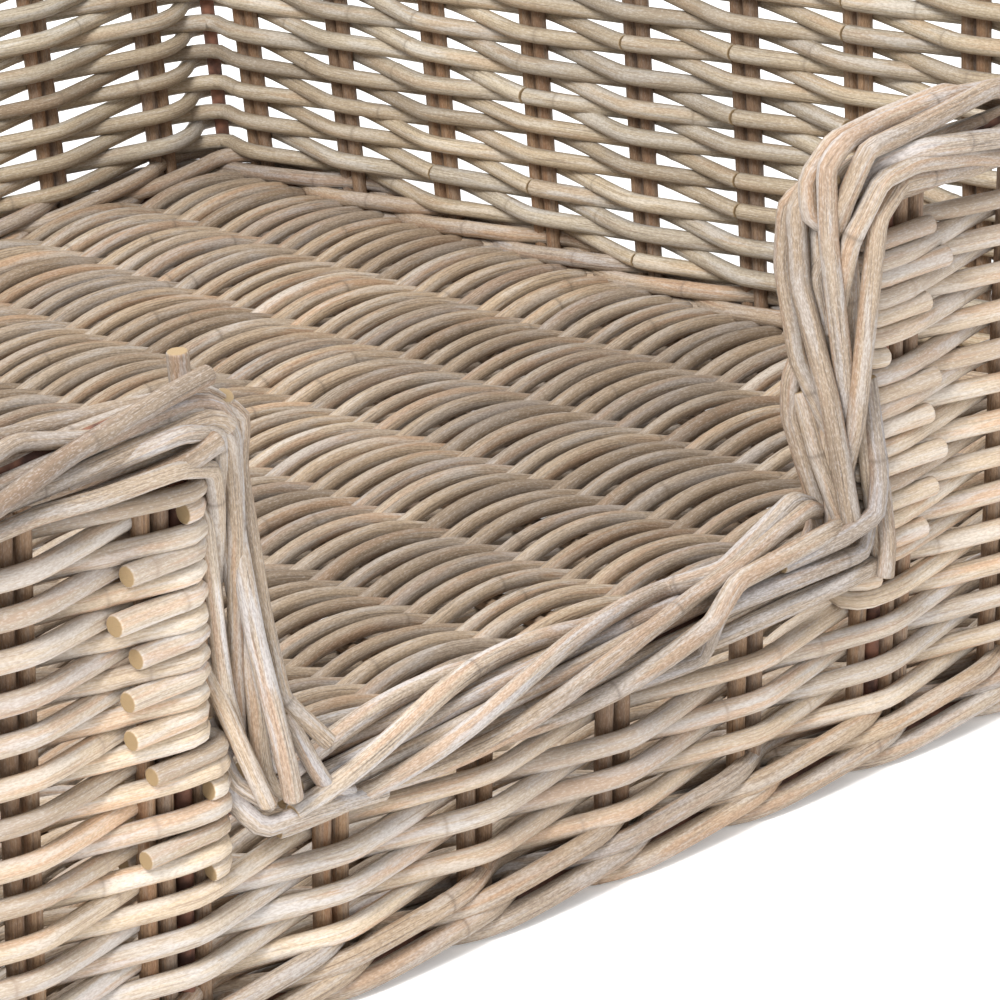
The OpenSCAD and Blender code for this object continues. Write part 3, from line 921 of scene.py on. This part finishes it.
right_side_canes = [
    (0.98, [(121, -3, 215), (114, -10, 206), (114, -11, 185), (118, -7, 152), (124, 3, 128)]),
    (1.05, [(121, -3, 217), (113, -5, 206), (114, -3, 180), (118, 8, 140), (126, 12, 95)]),
    (0.98, [(123, -9, 155), (118, -10, 145), (118, -10, 132), (125, 0, 93)]),
    (0.80, [(130, 3, 189), (134, 9, 119), (141, 11, 75)]),
    (0.80, [(125, 3, 197), (119, -1, 182), (128, 3, 135), (133, 5, 94)]),
    (0.90, [(140, 11, 107), (140, 15, 85), (138, 16, 75)]),
    (0.95, [(134, 1, 212), (134, -8, 196), (136, -9, 140), (139, -6, 92)]),
    (0.95, [(126, -2, 213), (127, -12, 197), (130, -13, 140), (133, -11, 88)]),
]
poles = [laid_cane(points, thick, 7500 + k) for k, (thick, points) in enumerate(right_side_canes)]
poles += core(right_path, over_top - 6 * mm, to_sill + 6 * mm, (0, 2, 4))
woven_piece("entrance_border_right_cane", poles, border_cane, ["entrance_border_right"], 12)

left_corner_canes = [
    (0.84, 4, [(-168, -6, 217), (-135, -3, 214), (-125, 2, 205), (-124, -1, 188), (-119, 3, 140),
               (-116, 8, 112), (-103, 14, 95)]),
    (0.84, 3, [(-180, 4, 214), (-143, 3, 212), (-133, 5, 200), (-130, 4, 170), (-128, 1, 120),
               (-125, -2, 98)]),
    (0.84, 1, [(-188, 13, 200), (-158, 13, 200), (-141, 7, 194), (-138, 5, 180), (-131, -4, 152)]),
    (0.84, None, [(-192, 3, 204), (-156, 11, 210), (-138, 6, 204), (-133, 1, 180)]),
    (0.95, 2, [(-196, 8, 214), (-160, 7, 221), (-138, 3, 222)]),
    (1.04, None, [(-140, -7, 210), (-141, -8, 227)]),
]
poles = [laid_cane(points, thick, 7600 + k,
                   before=joined_run(left_path, strand, 0, left_join),
                   cuts=(strand is None, True))
         for k, (thick, strand, points) in enumerate(left_corner_canes)]
poles += [Pole(rope_run(left_path, k, 0, over_top - stop * mm), rope_r, 7620 + k, 4 * mm, (False, True))
          for k, stop in ((0, 16), (5, 30))]
woven_piece("rim_front_left_cane", poles + core(left_path, 0, over_top - 8 * mm), border_cane,
            ["rim_front_left"], 12)

left_side_canes = [
    (0.84, [(-144, -4, 189), (-141, 3, 178), (-137, 3, 140), (-134, 3, 118), (-127, 1, 98)]),
    (0.84, [(-139, -4, 132), (-137, 3, 119), (-130, 11, 92), (-125, 12, 80)]),
    (0.98, [(-129, 0, 179), (-127, 9, 135), (-122, 17, 94), (-119, 16, 82)]),
    (0.84, [(-124, -2, 131), (-121, 1, 106), (-116, 6, 87)]),
    (0.84, [(-135, -5, 107), (-132, 4, 88), (-121, 10, 78)]),
    (0.84, [(-115, 8, 107), (-108, 13, 88), (-102, 12, 79), (-91, 10, 73)]),
    (0.98, [(-133, -4, 102), (-133, 3, 83), (-127, 11, 73), (-110, 14, 74), (-76, 9, 68)]),
    (0.90, [(-138, 0, 210), (-137, -7, 196), (-134, -8, 140), (-127, -6, 92)]),
    (0.90, [(-130, 0, 212), (-130, -9, 198), (-127, -10, 140), (-119, -7, 90)]),
]
poles = [laid_cane(points, thick, 7700 + k) for k, (thick, points) in enumerate(left_side_canes)]
poles += core(left_path, over_top - 12 * mm, to_sill, (1, 4))
woven_piece("entrance_border_left_cane", poles, border_cane, ["entrance_border_left"], 12)


# ---- sill border ----
# The canes along the sill start beside the ones that come down on the right, cover the short stakes and the
# steel bar, and are tucked under the ones that come down on the left.
sill_start_canes = [
    (0.98, 5, [(120, -7, 140), (121, 0, 120), (126, 8, 95), (112, 13, 97), (72, 13, 93)]),
    (0.95, None, [(135, 8, 144), (136, 14, 112), (134, 15, 98), (119, 14, 94), (93, 12, 92)]),
    (0.98, 4, [(138, 8, 96), (131, 12, 85), (100, 14, 86), (67, 11, 85)]),
    (0.98, 3, [(141, 10, 78), (121, 14, 78), (69, 10, 74)]),
    (0.90, 1, [(121, -2, 101), (108, 2, 108), (72, 6, 95)]),
    (0.90, 0, [(128, -4, 96), (111, 6, 105), (75, 9, 96)]),
]
poles = [laid_cane(points, thick, 7800 + k,
                   after=joined_run(right_path, strand, sill_near, sill_far))
         for k, (thick, strand, points) in enumerate(sill_start_canes)]
poles.append(Pole(rope_run(right_path, 2, to_sill + 20 * mm, sill_far), rope_r, 7890, 4 * mm))
woven_piece("sill_border_cane", poles + core(right_path, to_sill + 4 * mm, sill_far - 8 * mm), border_cane,
            ["sill_border"], 12)
